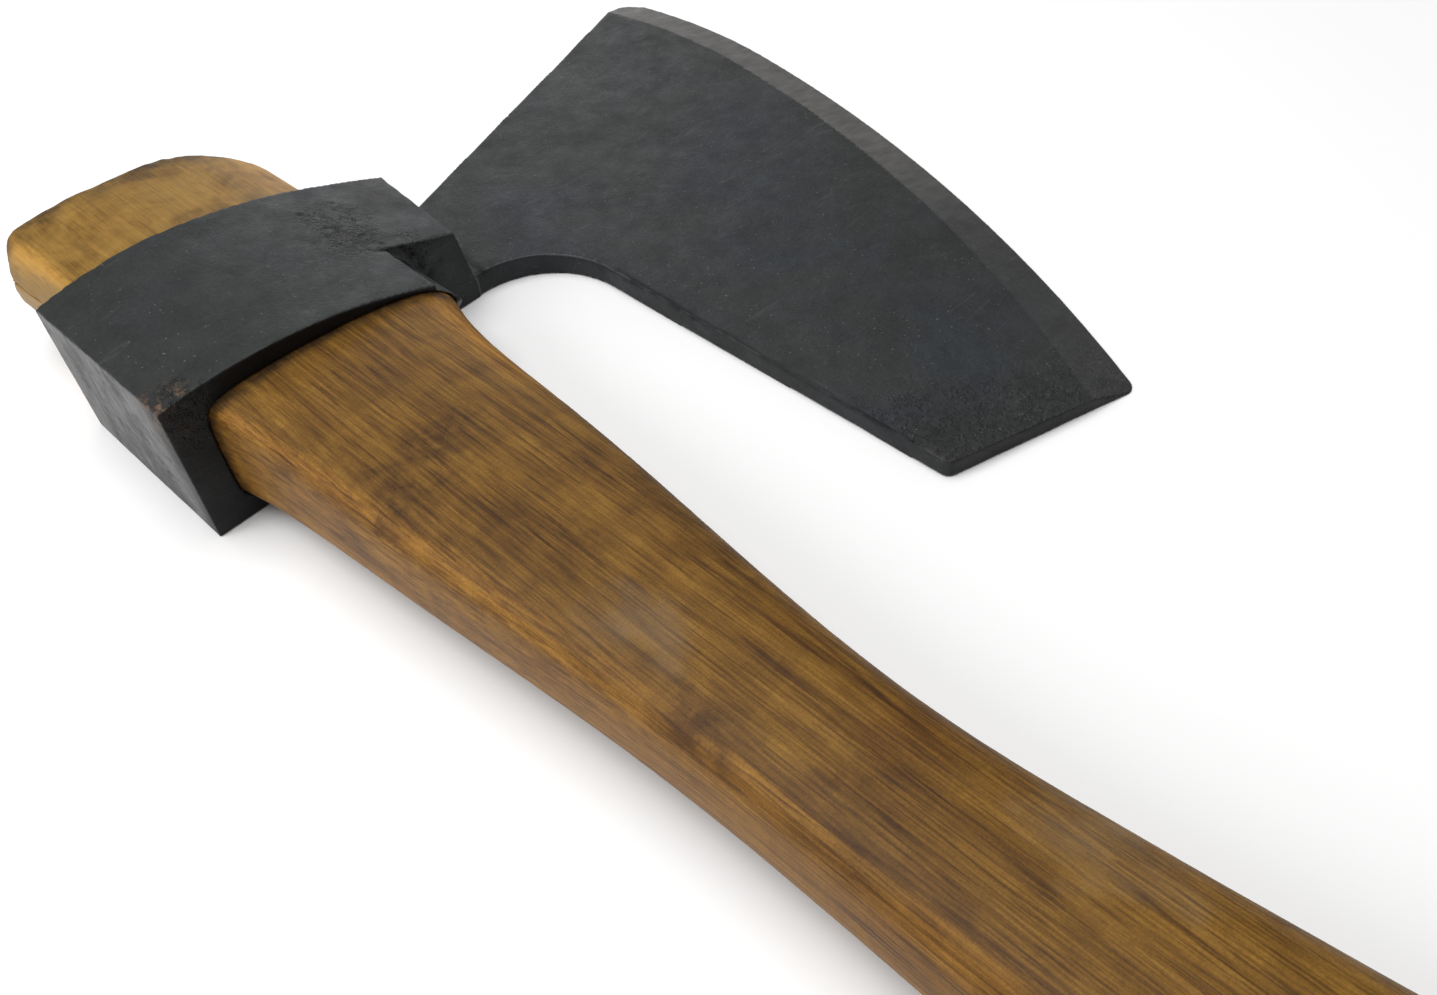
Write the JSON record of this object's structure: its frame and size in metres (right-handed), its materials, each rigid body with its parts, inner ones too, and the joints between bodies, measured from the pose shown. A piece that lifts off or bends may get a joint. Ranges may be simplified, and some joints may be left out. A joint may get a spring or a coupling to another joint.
{
  "type": "broad axe",
  "caption": "Flat-backed single-bevel hewing axe with a wide bearded blade, arched D-shaped eye and a tapered wooden haft held by wedges.",
  "frame": {"origin": "on the flat back of the head, straight under the middle of the eye", "axes": "+X from the poll to the cutting edge, +Y along the haft towards its top end (the grip runs towards -Y), +Z out of the bevelled side, square to the flat back"},
  "size_m": [0.2083, 0.3959, 0.0357],
  "materials": {
    "forged_steel": "dark forge scale over hammered steel, worn lighter on the poll and ground on the bevel",
    "stained_wood": "brown stained straight-grained hardwood, oiled, dark streaks along the grain",
    "wedge_wood": "bare hardwood, end grain darkened by oil",
    "wedge_steel": "plain rolled steel, hammer marked"
  },
  "bodies": {
    "root": {"axe_head": "forged_steel", "haft": "stained_wood", "wooden_wedge": "wedge_wood", "steel_wedge": "wedge_steel"}
  },
  "joints": []
}
